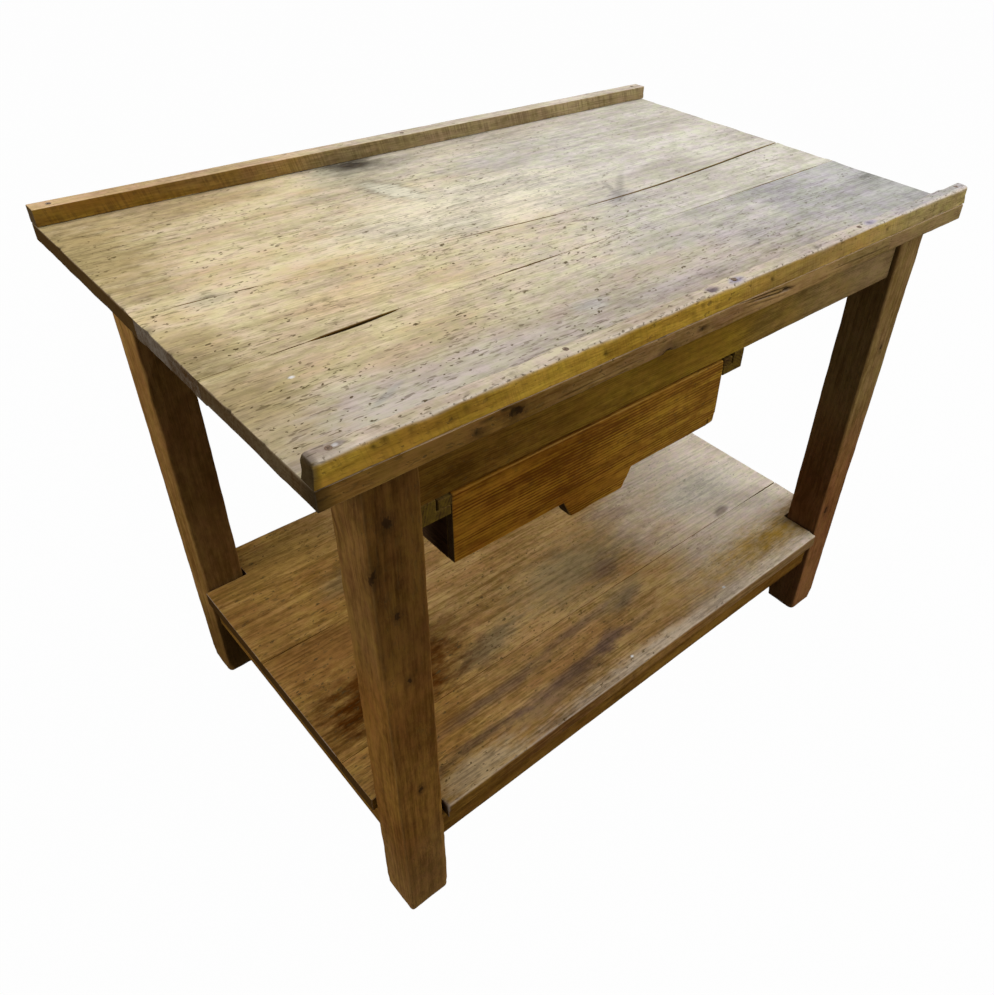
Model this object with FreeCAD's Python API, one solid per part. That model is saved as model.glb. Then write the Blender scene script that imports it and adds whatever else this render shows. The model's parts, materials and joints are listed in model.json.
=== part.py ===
"""Work table: a rimmed plank top on four square legs, a low plank shelf on a frame of
rails, and a drawer that hangs from cleats on rebated runners under the front apron.

All lengths are millimetres. X runs along the table, Y from front to rear and Z up. The
origin is on the floor under the middle of the top.
"""
import FreeCAD, Part
import os

# Top: boards laid lengthwise, listed from the front
top_length = 1020.0
top_width = 645.0
top_thickness = 22.5
work_height = 780.0
top_front_board_width = 212.0
top_middle_board_width = 100.0
top_board_gap = 1.0
top_edge_round = 3.0

# Rim strips on the top
front_strip_thickness = 21.0
front_strip_height = 26.0
front_strip_round = 6.0
rear_strip_thickness = 22.5
rear_strip_height = 21.0
rear_strip_round = 2.0

# Legs, and how far the top hangs over their outer faces
leg_side = 61.0
leg_edge_round = 2.5
foot_bevel = 7.0
overhang_left = 51.0
overhang_right = 38.0
overhang_front = 26.0
overhang_rear = 20.0

# Aprons under the top and rails under the shelf, set back from the faces of the legs
rail_recess = 7.0
rail_thickness = 22.0
rail_edge_round = 1.5
apron_height = 74.5
shelf_rail_height = 53.0

# Mortise and tenon joints
tenon_thickness = 10.0
tenon_length = 30.0
tenon_shoulder = 10.0
mortise_clearance = 0.2
mortise_end_gap = 2.0

# Shelf: boards laid lengthwise, listed from the front
shelf_height = 198.0
shelf_thickness = 24.0
shelf_front_board_width = 141.0
shelf_middle_board_width = 215.0
shelf_board_gap = 1.0
shelf_overhang_end = 3.5
shelf_overhang_front = 6.0
shelf_overhang_rear = 4.0
shelf_notch_gap = 3.0
shelf_edge_round = 4.0

# Drawer runners: each has a rebate along its upper inner edge for the drawer's cleat
runner_width = 36.0
runner_height = 26.0
rebate_width = 17.0
rebate_depth = 14.8
runner_round = 1.0

# Drawer
drawer_width = 406.0
drawer_depth = 500.0
drawer_height = 89.5
drawer_side_gap = 1.0
drawer_front_thickness = 20.0
drawer_front_round = 2.5
drawer_side_thickness = 14.0
drawer_back_thickness = 14.0
drawer_bottom_thickness = 8.0
drawer_bottom_rise = 8.0
groove_depth = 6.0
groove_clearance = 0.2
front_lap = 10.0
cleat_width = 15.5
cleat_height = 11.0
cleat_seat_gap = 0.3
tab_drop = 27.0
tab_top_width = 107.0
tab_bottom_width = 82.0
tab_round = 5.0
stop_length = 30.0
stop_gap = 0.3

# Nails: long ones hold boards and runners, shorter ones the rim strips and the drawer
nail_shank_radius = 1.5
nail_head_radius = 3.2
nail_head_height = 1.5
nail_sink = 0.3
nail_length = 50.0
strip_nail_length = 38.0
nail_inset = 22.0
drawer_nail_shank_radius = 0.9
drawer_nail_head_radius = 1.8
drawer_nail_head_height = 0.9
drawer_nail_length = 26.0
drawer_nail_inset = 14.0
strip_nail_count = 5
long_rail_nail_count = 3
cleat_nail_count = 4
bottom_nail_count = 3

# Heights and faces worked out from the sizes above
leg_height = work_height - top_thickness
apron_bottom = leg_height - apron_height
shelf_rail_top = shelf_height - shelf_thickness
shelf_rail_bottom = shelf_rail_top - shelf_rail_height
top_left = -top_length / 2
top_right = top_length / 2
top_front = -top_width / 2
top_rear = top_width / 2
legs_left = top_left + overhang_left
legs_right = top_right - overhang_right
legs_front = top_front + overhang_front
legs_rear = top_rear - overhang_rear
apron_face = legs_front + rail_recess

# The drawer hangs beside the left front leg
runner_bottom = apron_bottom - runner_height
ledge_top = apron_bottom - rebate_depth
runner_left_outer = legs_left + leg_side
drawer_left = runner_left_outer + runner_width + drawer_side_gap
drawer_right = drawer_left + drawer_width
runner_right_outer = drawer_right + drawer_side_gap + runner_width
drawer_top = ledge_top + cleat_seat_gap + cleat_height
drawer_foot = drawer_top - drawer_height
drawer_rear = apron_face + drawer_depth

# The least share of an edge's length that lies along an axis for the edge to count as along it
straight_share = 0.999

UP = FreeCAD.Vector(0, 0, 1)
DOWN = FreeCAD.Vector(0, 0, -1)
RIGHT = FreeCAD.Vector(1, 0, 0)
LEFT = FreeCAD.Vector(-1, 0, 0)


def block(x_span, y_span, z_span):
    """A box between two places along each axis."""
    low = FreeCAD.Vector(x_span[0], y_span[0], z_span[0])
    return Part.makeBox(x_span[1] - x_span[0], y_span[1] - y_span[0], z_span[1] - z_span[0], low)


def centred(middle, size):
    """The two ends of a stretch of a given size about its middle."""
    return (middle - size / 2, middle + size / 2)


def runs_along(edge, axis):
    """True for a straight edge that lies along an axis, given as 0, 1 or 2 for X, Y or Z."""
    if len(edge.Vertexes) != 2 or not isinstance(edge.Curve, Part.Line):
        return False
    step = edge.Vertexes[1].Point - edge.Vertexes[0].Point
    return abs(step[axis]) > straight_share * step.Length


def rises(edge):
    """True for an edge that joins two different heights."""
    return edge.Vertexes[1].Point.z - edge.Vertexes[0].Point.z != 0


def rounded(shape, radius, chosen):
    """The shape with a fillet on each edge for which chosen says yes."""
    edges = [edge for edge in shape.Edges if chosen(edge)]
    return shape.makeFillet(radius, edges)


def spread(start, end, count):
    """Evenly spaced places from start to end, both ends among them."""
    return [start + (end - start) * index / (count - 1) for index in range(count)]


class Nail:
    """A round-headed nail, driven from a place on a surface in a given direction."""

    def __init__(self, place, direction, length, shank_radius, head_radius, head_height):
        self.place = FreeCAD.Vector(*place)
        self.direction = direction
        self.length = length
        self.shank_radius = shank_radius
        self.head_radius = head_radius
        self.head_height = head_height

    def solid(self):
        """The nail itself, its head sunk a little below the surface."""
        seat = self.place + self.direction * nail_sink
        shank = Part.makeCylinder(self.shank_radius, self.length, seat, self.direction)
        head = Part.makeCylinder(self.head_radius, self.head_height, seat, self.direction)
        return shank.fuse(head).removeSplitter()

    def hole(self):
        """The hole that the nail makes, open at the surface."""
        drilled = self.length + nail_sink
        shank = Part.makeCylinder(self.shank_radius, drilled, self.place, self.direction)
        sunk = self.head_height + nail_sink
        head = Part.makeCylinder(self.head_radius, sunk, self.place, self.direction)
        return shank.fuse(head)


def long_nail(place, direction):
    return Nail(place, direction, nail_length, nail_shank_radius, nail_head_radius, nail_head_height)


def strip_nail(place, direction):
    return Nail(place, direction, strip_nail_length, nail_shank_radius, nail_head_radius, nail_head_height)


def short_nail(place, direction):
    return Nail(place, direction, drawer_nail_length, drawer_nail_shank_radius,
                drawer_nail_head_radius, drawer_nail_head_height)


def drilled(shape, nails):
    """The shape with a hole for each nail that reaches it."""
    box = shape.BoundBox
    holes = [nail.hole() for nail in nails]
    near = [hole for hole in holes if box.intersect(hole.BoundBox)]
    return shape.cut(near) if near else shape


def group(nails):
    """All nails of one kind, as separate solids."""
    return Part.makeCompound([nail.solid() for nail in nails])


# Legs
leg_spans = {
    "leg_front_left": ((legs_left, legs_left + leg_side), (legs_front, legs_front + leg_side)),
    "leg_front_right": ((legs_right - leg_side, legs_right), (legs_front, legs_front + leg_side)),
    "leg_rear_left": ((legs_left, legs_left + leg_side), (legs_rear - leg_side, legs_rear)),
    "leg_rear_right": ((legs_right - leg_side, legs_right), (legs_rear - leg_side, legs_rear)),
}
inner_x = (legs_left + leg_side, legs_right - leg_side)
inner_y = (legs_front + leg_side, legs_rear - leg_side)

# Rails: the axis each runs along, its place across that axis, and its heights
front_line = (legs_front + rail_recess, legs_front + rail_recess + rail_thickness)
rear_line = (legs_rear - rail_recess - rail_thickness, legs_rear - rail_recess)
left_line = (legs_left + rail_recess, legs_left + rail_recess + rail_thickness)
right_line = (legs_right - rail_recess - rail_thickness, legs_right - rail_recess)
apron_heights = (apron_bottom, leg_height)
shelf_rail_heights = (shelf_rail_bottom, shelf_rail_top)
rails = {
    "apron_front": (0, front_line, apron_heights),
    "apron_rear": (0, rear_line, apron_heights),
    "apron_left": (1, left_line, apron_heights),
    "apron_right": (1, right_line, apron_heights),
    "shelf_rail_front": (0, front_line, shelf_rail_heights),
    "shelf_rail_rear": (0, rear_line, shelf_rail_heights),
    "shelf_rail_left": (1, left_line, shelf_rail_heights),
    "shelf_rail_right": (1, right_line, shelf_rail_heights),
}


def tenon_bar(axis, line, heights, reach, ease):
    """The bar that forms both tenons of a rail, or with ease both of its mortises."""
    span = inner_x if axis == 0 else inner_y
    along = (span[0] - reach, span[1] + reach)
    across = centred((line[0] + line[1]) / 2, tenon_thickness + 2 * ease)
    tall = (heights[0] + tenon_shoulder - ease, heights[1] - tenon_shoulder + ease)
    return block(along, across, tall) if axis == 0 else block(across, along, tall)


def rail(name, nails):
    """A rail between two legs, with a tenon at each end."""
    axis, line, heights = rails[name]
    span = inner_x if axis == 0 else inner_y
    body = block(span, line, heights) if axis == 0 else block(line, span, heights)
    body = rounded(body, rail_edge_round, lambda edge: runs_along(edge, axis)
                   and edge.BoundBox.ZMax < heights[1])
    joined = body.fuse(tenon_bar(axis, line, heights, tenon_length, 0)).removeSplitter()
    return drilled(joined, nails)


def leg(name):
    """A square post with eased corners, a bevelled foot and its four mortises."""
    x_span, y_span = leg_spans[name]
    post = block(x_span, y_span, (0, leg_height))
    foot = [edge for edge in post.Edges if edge.BoundBox.ZMax < foot_bevel]
    post = post.makeChamfer(foot_bevel, foot)
    post = rounded(post, leg_edge_round, rises)
    reach = tenon_length + mortise_end_gap
    for axis, line, heights in rails.values():
        post = post.cut(tenon_bar(axis, line, heights, reach, mortise_clearance))
    return post


def board_lines(front, rear, first_width, second_width, gap):
    """The fronts and rears of three boards laid side by side."""
    first = (front, front + first_width)
    second = (first[1] + gap, first[1] + gap + second_width)
    third = (second[1] + gap, rear)
    return [first, second, third]


top_lines = board_lines(top_front, top_rear, top_front_board_width, top_middle_board_width, top_board_gap)
shelf_front = legs_front - shelf_overhang_front
shelf_rear = legs_rear + shelf_overhang_rear
shelf_x = (legs_left - shelf_overhang_end, legs_right + shelf_overhang_end)
shelf_lines = board_lines(shelf_front, shelf_rear, shelf_front_board_width, shelf_middle_board_width,
                          shelf_board_gap)


def board_nails(lines, height):
    """Nails through the ends of each board into the side rails, and through the outer
    boards into the front and rear rails, all between the legs."""
    places = []
    for low, high in lines:
        near = max(low, inner_y[0]) + nail_inset
        far = min(high, inner_y[1]) - nail_inset
        for line in (left_line, right_line):
            places += [(sum(line) / 2, y, height) for y in (near, far)]
    for line in (front_line, rear_line):
        across = spread(inner_x[0], inner_x[1], long_rail_nail_count + 2)[1:-1]
        places += [(x, sum(line) / 2, height) for x in across]
    return [long_nail(place, DOWN) for place in places]


def strip_nails(y_middle, height):
    """Nails down through a rim strip into the top, with their tips inside it."""
    across = spread(top_left + nail_inset, top_right - nail_inset, strip_nail_count)
    return [strip_nail((x, y_middle, work_height + height), DOWN) for x in across]


top_nails = board_nails(top_lines, work_height)
shelf_nails = board_nails(shelf_lines, shelf_height)
front_strip_nails = strip_nails(top_front + front_strip_thickness / 2, front_strip_height)
rear_strip_nails = strip_nails(top_rear - rear_strip_thickness / 2, rear_strip_height)


def top_board(line):
    """A board of the top. The outer boards have eased lower edges."""
    board = block((top_left, top_right), line, (leg_height, work_height))
    outer = [y for y in line if y in (top_front, top_rear)]
    if outer:
        board = rounded(board, top_edge_round, lambda edge: runs_along(edge, 0)
                        and edge.BoundBox.ZMax < work_height and edge.BoundBox.YMin in outer)
    return drilled(board, top_nails + front_strip_nails + rear_strip_nails)


def front_rim_strip():
    """The front strip, with its upper edges worn round."""
    strip = block((top_left, top_right), (top_front, top_front + front_strip_thickness),
                  (work_height, work_height + front_strip_height))
    strip = rounded(strip, front_strip_round, lambda edge: edge.BoundBox.ZMin > work_height)
    return drilled(strip, front_strip_nails)


def rear_rim_strip():
    """The rear strip, left nearly square."""
    strip = block((top_left, top_right), (top_rear - rear_strip_thickness, top_rear),
                  (work_height, work_height + rear_strip_height))
    strip = rounded(strip, rear_strip_round, lambda edge: edge.BoundBox.ZMin > work_height)
    return drilled(strip, rear_strip_nails)


def leg_notch(name):
    """The space that a shelf board leaves for a leg at its corner, out to the board's edges."""
    x_span, y_span = leg_spans[name]
    clear = leg_side + shelf_notch_gap
    left = name.endswith("left")
    front = "front" in name
    x_side = (shelf_x[0], x_span[0] + clear) if left else (x_span[1] - clear, shelf_x[1])
    y_side = (shelf_front, y_span[0] + clear) if front else (y_span[1] - clear, shelf_rear)
    return block(x_side, y_side, (shelf_rail_top, shelf_height))


def shelf_board(line):
    """A board of the shelf. The outer boards are notched round the legs."""
    board = block(shelf_x, line, (shelf_rail_top, shelf_height))
    if shelf_front in line:
        board = rounded(board, shelf_edge_round, lambda edge: runs_along(edge, 0)
                        and edge.BoundBox.ZMin > shelf_rail_top and edge.BoundBox.YMax < line[1])
        board = board.cut([leg_notch("leg_front_left"), leg_notch("leg_front_right")])
    if shelf_rear in line:
        board = board.cut([leg_notch("leg_rear_left"), leg_notch("leg_rear_right")])
    return drilled(board, shelf_nails)


# Runners and stops: the outer face of each runner and the side of it that the drawer is on
runner_length = (apron_face, legs_rear - rail_recess)
runner_sides = {"runner_left": (runner_left_outer, 1), "runner_right": (runner_right_outer, -1)}
stop_sides = {"drawer_stop_left": (runner_left_outer, 1), "drawer_stop_right": (runner_right_outer, -1)}


def toward(start, side, distance):
    """A stretch from start, over a distance to the right for side 1 or to the left for -1."""
    return tuple(sorted((start, start + side * distance)))


def runner_nails():
    """Nails up through each runner into the front and rear aprons."""
    nails = []
    for outer, side in runner_sides.values():
        x = outer + side * (runner_width - rebate_width) / 2
        for line in (front_line, rear_line):
            nails.append(long_nail((x, sum(line) / 2, runner_bottom), UP))
    return nails


def runner(name):
    """A runner under the aprons, with the rebate that the drawer's cleat slides in."""
    outer, side = runner_sides[name]
    bar = block(toward(outer, side, runner_width), runner_length, (runner_bottom, apron_bottom))
    bar = rounded(bar, runner_round, lambda edge: runs_along(edge, 1) and edge.BoundBox.ZMax < apron_bottom)
    inner = outer + side * runner_width
    rebate = block(toward(inner, -side, rebate_width), runner_length, (ledge_top, apron_bottom))
    return drilled(bar.cut(rebate), runner_nails())


def drawer_stop(name):
    """A block in a runner's rebate, behind the cleat and resting on the ledge."""
    outer, side = stop_sides[name]
    inner = outer + side * runner_width
    start = drawer_rear + stop_gap
    return block(toward(inner, -side, rebate_width), (start, start + stop_length),
                 (ledge_top, ledge_top + cleat_height))


# Drawer: the inside faces of its box and the faces of its bottom board
box_x = (drawer_left + drawer_side_thickness, drawer_right - drawer_side_thickness)
box_front = apron_face + drawer_front_thickness
box_rear = drawer_rear - drawer_back_thickness
bottom_underside = drawer_foot + drawer_bottom_rise
bottom_heights = (bottom_underside, bottom_underside + drawer_bottom_thickness)
side_sides = {"drawer_side_left": (drawer_left, 1), "drawer_side_right": (drawer_right, -1)}
cleat_sides = {"drawer_cleat_left": (drawer_left, -1), "drawer_cleat_right": (drawer_right, 1)}
cleat_heights = (drawer_top - cleat_height, drawer_top)


def box_nails():
    """Nails through the drawer's sides into the laps of its front and into its back."""
    nails = []
    lap_middle = apron_face + front_lap + (drawer_front_thickness - front_lap) / 2
    back_middle = (box_rear + drawer_rear) / 2
    heights = (bottom_heights[1] + drawer_nail_inset, cleat_heights[0] - drawer_nail_inset)
    for face, side in side_sides.values():
        for y in (lap_middle, back_middle):
            nails += [short_nail((face, y, z), RIGHT * side) for z in heights]
    return nails


def cleat_nails():
    """Nails through each cleat into the drawer's side."""
    nails = []
    along = spread(box_front + drawer_nail_inset, box_rear - drawer_nail_inset, cleat_nail_count)
    for face, side in cleat_sides.values():
        z = sum(cleat_heights) / 2
        nails += [short_nail((face + side * cleat_width, y, z), LEFT * side) for y in along]
    return nails


def bottom_nails():
    """Nails up through the bottom board into the back."""
    across = spread(box_x[0] + drawer_nail_inset, box_x[1] - drawer_nail_inset, bottom_nail_count)
    return [short_nail((x, (box_rear + drawer_rear) / 2, bottom_heights[0]), UP) for x in across]


def bottom_panel(ease):
    """The drawer's bottom in its grooves, or with ease the space that the grooves leave it."""
    into_groove = groove_depth - groove_clearance + ease
    x_span = (box_x[0] - into_groove, box_x[1] + into_groove)
    y_span = (box_front - into_groove, drawer_rear)
    return block(x_span, y_span, (bottom_heights[0] - ease, bottom_heights[1] + ease))


def drawer_front():
    """The front board, lapped over the sides, with a pull tab left on its lower edge."""
    middle = (drawer_left + drawer_right) / 2
    tab_bottom = drawer_foot - tab_drop
    outline = [
        (drawer_left, drawer_top),
        (drawer_left, drawer_foot),
        (middle - tab_top_width / 2, drawer_foot),
        (middle - tab_bottom_width / 2, tab_bottom),
        (middle + tab_bottom_width / 2, tab_bottom),
        (middle + tab_top_width / 2, drawer_foot),
        (drawer_right, drawer_foot),
        (drawer_right, drawer_top),
    ]
    corners = [FreeCAD.Vector(x, apron_face, z) for x, z in outline]
    face = Part.Face(Part.makePolygon(corners + corners[:1]))
    board = face.extrude(FreeCAD.Vector(0, drawer_front_thickness, 0))
    board = rounded(board, tab_round, lambda edge: runs_along(edge, 1)
                    and edge.BoundBox.ZMax < drawer_foot)
    board = rounded(board, drawer_front_round, lambda edge: runs_along(edge, 0)
                    and edge.BoundBox.ZMin > drawer_foot and edge.BoundBox.YMax < box_front)
    for face_x, side in side_sides.values():
        lap = block(toward(face_x, side, drawer_side_thickness), (apron_face + front_lap, box_front),
                    (drawer_foot, drawer_top))
        board = board.cut(lap)
    return drilled(board.cut(bottom_panel(groove_clearance)), box_nails())


def drawer_side(name):
    """A side of the drawer, from the lap of the front to the rear, grooved for the bottom."""
    face, side = side_sides[name]
    board = block(toward(face, side, drawer_side_thickness), (apron_face + front_lap, drawer_rear),
                  (drawer_foot, drawer_top))
    return drilled(board.cut(bottom_panel(groove_clearance)), box_nails() + cleat_nails())


def drawer_back():
    """The back, between the sides and on top of the bottom."""
    board = block(box_x, (box_rear, drawer_rear), (bottom_heights[1], drawer_top))
    return drilled(board, box_nails() + bottom_nails())


def drawer_bottom():
    """The bottom board, held in the grooves and nailed to the back."""
    return drilled(bottom_panel(0), bottom_nails())


def drawer_cleat(name):
    """A strip along the top of a drawer side, which slides on the ledge of the runner."""
    face, side = cleat_sides[name]
    bar = block(toward(face, side, cleat_width), (apron_face, drawer_rear), cleat_heights)
    return drilled(bar, cleat_nails())


parts = {
    "top_board_front": top_board(top_lines[0]),
    "top_board_middle": top_board(top_lines[1]),
    "top_board_rear": top_board(top_lines[2]),
    "front_rim_strip": front_rim_strip(),
    "rear_rim_strip": rear_rim_strip(),
    "shelf_board_front": shelf_board(shelf_lines[0]),
    "shelf_board_middle": shelf_board(shelf_lines[1]),
    "shelf_board_rear": shelf_board(shelf_lines[2]),
    "drawer_front": drawer_front(),
    "drawer_back": drawer_back(),
    "drawer_bottom": drawer_bottom(),
    "top_board_nails": group(top_nails),
    "front_rim_nails": group(front_strip_nails),
    "rear_rim_nails": group(rear_strip_nails),
    "shelf_board_nails": group(shelf_nails),
    "runner_nails": group(runner_nails()),
    "drawer_nails": group(box_nails() + cleat_nails() + bottom_nails()),
}
for name in leg_spans:
    parts[name] = leg(name)
for name in rails:
    parts[name] = rail(name, top_nails + shelf_nails + runner_nails())
for name in runner_sides:
    parts[name] = runner(name)
for name in stop_sides:
    parts[name] = drawer_stop(name)
for name in side_sides:
    parts[name] = drawer_side(name)
for name in cleat_sides:
    parts[name] = drawer_cleat(name)

os.makedirs("parts", exist_ok=True)
for name, shape in sorted(parts.items()):
    shape.exportStep("parts/" + name + ".step")
    print(name, len(shape.Solids), "solids", round(shape.Volume), "mm3", "valid", shape.isValid())
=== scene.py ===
"""How the work table looks: old waxed pine, bleached and flecked on top, with worn arrises.

Each piece of wood is shaped on a grid over the box of its own part of the frame. Its arrises are
rounded, its faces are a little uneven, and its dents, splits and broken edges are moved points.
Lengths are metres, and mm turns millimetres into them.
"""
import json
import math
from collections import namedtuple

import bmesh
import bpy
import numpy as np
from mathutils import Matrix, Vector


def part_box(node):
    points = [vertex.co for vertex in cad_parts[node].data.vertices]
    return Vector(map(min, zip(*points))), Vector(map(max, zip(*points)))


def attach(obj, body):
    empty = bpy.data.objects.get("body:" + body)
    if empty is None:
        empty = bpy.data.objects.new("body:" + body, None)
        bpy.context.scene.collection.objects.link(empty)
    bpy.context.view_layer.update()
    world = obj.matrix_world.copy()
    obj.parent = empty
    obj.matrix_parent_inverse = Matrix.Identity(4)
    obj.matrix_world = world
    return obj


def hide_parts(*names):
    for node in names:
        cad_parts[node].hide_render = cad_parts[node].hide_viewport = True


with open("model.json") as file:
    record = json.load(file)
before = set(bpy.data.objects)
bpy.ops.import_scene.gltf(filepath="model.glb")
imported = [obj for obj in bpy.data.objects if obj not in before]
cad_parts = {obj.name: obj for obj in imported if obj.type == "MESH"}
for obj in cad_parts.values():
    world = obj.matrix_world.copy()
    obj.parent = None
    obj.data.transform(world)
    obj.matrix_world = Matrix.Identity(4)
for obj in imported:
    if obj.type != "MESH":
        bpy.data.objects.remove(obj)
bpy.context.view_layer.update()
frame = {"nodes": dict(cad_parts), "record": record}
mm = 0.001


# Camera: where it stood, where it looked and how it was framed

photo_long_side = 995
photo_middle = (497.0, 497.5)
focal_length_px = 866.642
optical_centre_px = (566.286, 481.467)
sensor_width = 36.0
camera_place = Vector((-728.246, -811.203, 1201.015)) * mm
camera_heading = 0.781992
camera_dip = 0.668284
camera_roll = 0.063234


def make_camera():
    """The camera of the photograph, with its optical centre off the middle of the picture."""
    forward = Vector((math.sin(camera_heading) * math.cos(camera_dip),
                      math.cos(camera_heading) * math.cos(camera_dip), -math.sin(camera_dip)))
    level = Vector((math.cos(camera_heading), -math.sin(camera_heading), 0))
    upright = level.cross(forward)
    right = level * math.cos(camera_roll) + upright * math.sin(camera_roll)
    up = upright * math.cos(camera_roll) - level * math.sin(camera_roll)
    camera = bpy.data.objects.new("camera", bpy.data.cameras.new("camera"))
    turn = Matrix((right, up, -forward)).transposed().to_4x4()
    camera.matrix_world = Matrix.Translation(camera_place) @ turn
    camera.data.sensor_width = sensor_width
    camera.data.lens = focal_length_px * sensor_width / photo_long_side
    camera.data.shift_x = (photo_middle[0] - optical_centre_px[0]) / photo_long_side
    camera.data.shift_y = (optical_centre_px[1] - photo_middle[1]) / photo_long_side
    bpy.context.scene.collection.objects.link(camera)
    bpy.context.scene.camera = camera


# Shaping the wood

arris_insets = np.array((0.4, 0.9, 1.6, 2.6, 4.0, 6.0, 9.0)) * mm
least_line_gap = 0.3 * mm
hair = 0.001 * mm
random_heights = np.random.default_rng(5).random((32, 32, 32)) * 2 - 1


def unevenness(points, size, seed=0):
    """Smooth random heights from -1 to 1, with swells about size across, at each point."""
    place = points / size + seed * 5.37
    cell = np.floor(place).astype(int)
    share = place - cell
    share = share * share * (3 - 2 * share)
    height = np.zeros(len(points))
    for corner in np.ndindex(2, 2, 2):
        weight = np.prod(np.where(corner, share, 1 - share), axis=1)
        height += weight * random_heights[tuple(((cell + corner) % 32).T)]
    return height


def swell(distance):
    """One at distance 0, falling smoothly to nothing at distance 1."""
    return np.clip(1 - distance ** 2, 0, 1) ** 2


def grid_lines(low, high, step, edges, band):
    """Places of grid lines: close together beside each edge, at its own step in a band given as
    (from, to, step), and about step apart elsewhere."""
    places = sorted({low, high, *edges})
    close = [edge + side * inset for edge in places for inset in arris_insets for side in (-1, 1)]
    close += list(np.arange(*band)) if band else []
    for wanted, gap in ((close, least_line_gap), (np.arange(low, high, step), step / 2)):
        for place in wanted:
            if low < place < high and min(abs(place - other) for other in places) > gap:
                places.append(place)
    return np.array(sorted(places))


def skin(lines, notches):
    """The faces between wood and air on the grid, and the places of their corners."""
    middles = [(line[1:] + line[:-1]) / 2 for line in lines]
    x, y, z = np.meshgrid(*middles, indexing="ij")
    wood = np.ones(x.shape, bool)
    for a, b in notches:
        wood &= ~((x > a[0]) & (x < b[0]) & (y > a[1]) & (y < b[1]) & (z > a[2]) & (z < b[2]))
    faces = []
    for axis in range(3):
        inside = [slice(1, -1)] * 3
        inside[axis] = slice(None)
        change = np.diff(np.pad(wood, 1).astype(int), axis=axis)[tuple(inside)]
        across = np.eye(3, dtype=int)[[(axis + 1) % 3, (axis + 2) % 3]]
        for sign, order in ((-1, (0, 1, 3, 2)), (1, (2, 3, 1, 0))):
            base = np.argwhere(change == sign)
            ring = [base, base + across[0], base + across[1], base + across[0] + across[1]]
            faces.append(np.stack([ring[index] for index in order], axis=1))
    corners = np.concatenate(faces)
    counts = [len(line) for line in lines]
    keys = np.ravel_multi_index(tuple(corners.reshape(-1, 3).T), counts)
    used, quads = np.unique(keys, return_inverse=True)
    cells = np.unravel_index(used, counts)
    flat = np.stack([line[index] for line, index in zip(lines, cells)], axis=1)
    return quads.reshape(-1, 4), flat


class Wood:
    """A piece of wood: a box with notches, meshed over its whole surface.

    steps and arris are in millimetres. flat holds the points of the square-edged piece and points
    the points as they are shaped. out points away from the wood. worn and dark are shares for the
    finish to read."""

    def __init__(self, low, high, steps, arris, notches=(), band=()):
        self.low = np.array(low, float)
        self.high = np.array(high, float)
        lines = []
        for axis in range(3):
            edges = [notch[end][axis] for notch in notches for end in (0, 1)
                     if self.low[axis] < notch[end][axis] < self.high[axis]]
            lines.append(grid_lines(self.low[axis], self.high[axis], steps[axis] * mm, edges,
                                    band if axis == 2 else ()))
        self.quads, self.flat = skin(lines, notches)
        self.radius = (arris(self.flat) if callable(arris) else arris) * mm * (
            1 + 0.35 * unevenness(self.flat, 35 * mm, 1) + 0.25 * unevenness(self.flat, 11 * mm, 2))
        self.round_off(notches)
        ridge = 1 - np.abs(self.out).max(axis=1)
        self.worn = np.clip(ridge / 0.25, 0, 1)
        self.dark = np.zeros(len(self.flat))

    def round_off(self, notches):
        """Rounds every arris to its radius and notes which way each point faces."""
        reach = self.radius[:, None]
        core = np.clip(self.flat, self.low + reach, self.high - reach)
        for a, b in notches:
            nearest = np.clip(core, np.array(a) + hair, np.array(b) - hair)
            away = core - nearest
            distance = np.linalg.norm(away, axis=1)[:, None]
            core = np.where(distance < reach, nearest + away / np.maximum(distance, 1e-12) * reach, core)
        self.out = self.flat - core
        self.out /= np.linalg.norm(self.out, axis=1)[:, None]
        self.points = core + self.out * reach

    def sink(self, depth):
        """Moves each point into the wood."""
        self.points = self.points - self.out * np.broadcast_to(depth, len(self.flat))[:, None]

    def roughen(self, depth, size, seed=0):
        """Swells and hollows, none of them above the flat face, in millimetres."""
        self.sink(depth * mm * (0.5 + 0.5 * unevenness(self.flat / mm, size, seed)))

    def near(self, place, size):
        """One at a place, falling to nothing at half lengths along X, Y and Z, in millimetres."""
        return swell(np.linalg.norm((self.flat / mm - place) / size, axis=1))

    def dent(self, place, size, depth, dark=0.0):
        """A hollow round a place, in millimetres."""
        share = self.near(place, size)
        self.sink(depth * mm * share)
        self.dark = np.maximum(self.dark, dark * share)

    def bite(self, place, size, pull, dark=0.0):
        """Wood broken out round a place: its points move by pull, in millimetres."""
        share = self.near(place, size)
        ragged = share * (1 + 0.4 * unevenness(self.flat, 4 * mm, 3))
        self.points = self.points + ragged[:, None] * np.array(pull) * mm
        self.dark = np.maximum(self.dark, dark * share)

    def slit(self, start, end, width, depth, dark):
        """A narrow split from one place to another, widest in its middle."""
        first = np.array(start) * mm
        span = np.array(end) * mm - first
        share = np.clip((self.flat - first) @ span / (span @ span), 0, 1)
        opening = width * mm * np.maximum(4 * share * (1 - share), 0.05) ** 0.5
        near = swell(np.linalg.norm(self.flat - first - share[:, None] * span, axis=1) / opening)
        self.sink(depth * mm * near)
        self.dark = np.maximum(self.dark, dark * near)

    def place(self, name, finish, node, slot):
        """Puts the piece in the place of its node."""
        mesh = bpy.data.meshes.new(name)
        mesh.from_pydata(self.points.tolist(), [], self.quads.tolist())
        for label, values in (("worn", self.worn), ("dark", self.dark)):
            mesh.attributes.new(label, "FLOAT", "POINT").data.foreach_set("value", np.clip(values, 0, 1))
        mesh.polygons.foreach_set("use_smooth", [True] * len(mesh.polygons))
        mesh.materials.append(finish)
        place_piece(name, mesh, node)


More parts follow.
